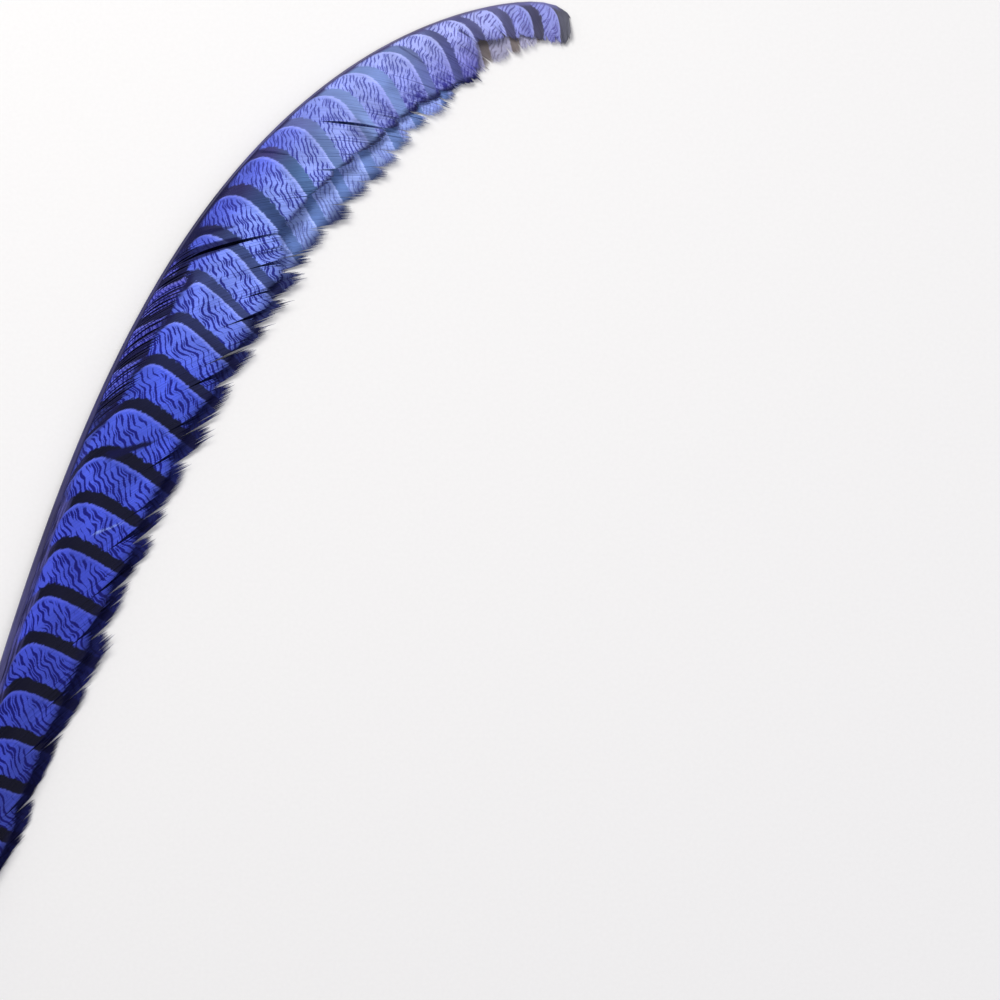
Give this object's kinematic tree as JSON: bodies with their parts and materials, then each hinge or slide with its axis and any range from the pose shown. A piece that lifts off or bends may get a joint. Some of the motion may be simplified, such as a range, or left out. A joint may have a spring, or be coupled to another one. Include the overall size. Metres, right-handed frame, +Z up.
{
  "type": "pheasant tail feather",
  "caption": "Long sickle-curved barred tail feather with vaulted vanes, a parted edge and down at its foot, lying on its side.",
  "frame": {"origin": "on the resting surface, under the middle of the feather's bounding box", "axes": "+Y along the feather from the quill towards the tip, +X towards the side that the tip sweeps over to, +Z up out of the resting surface"},
  "size_m": [0.2722, 0.4474, 0.0109],
  "materials": {
    "vane": "soft dyed feather barbs, with near-black bars"
  },
  "bodies": {
    "root": {"feather": "vane"}
  },
  "joints": []
}
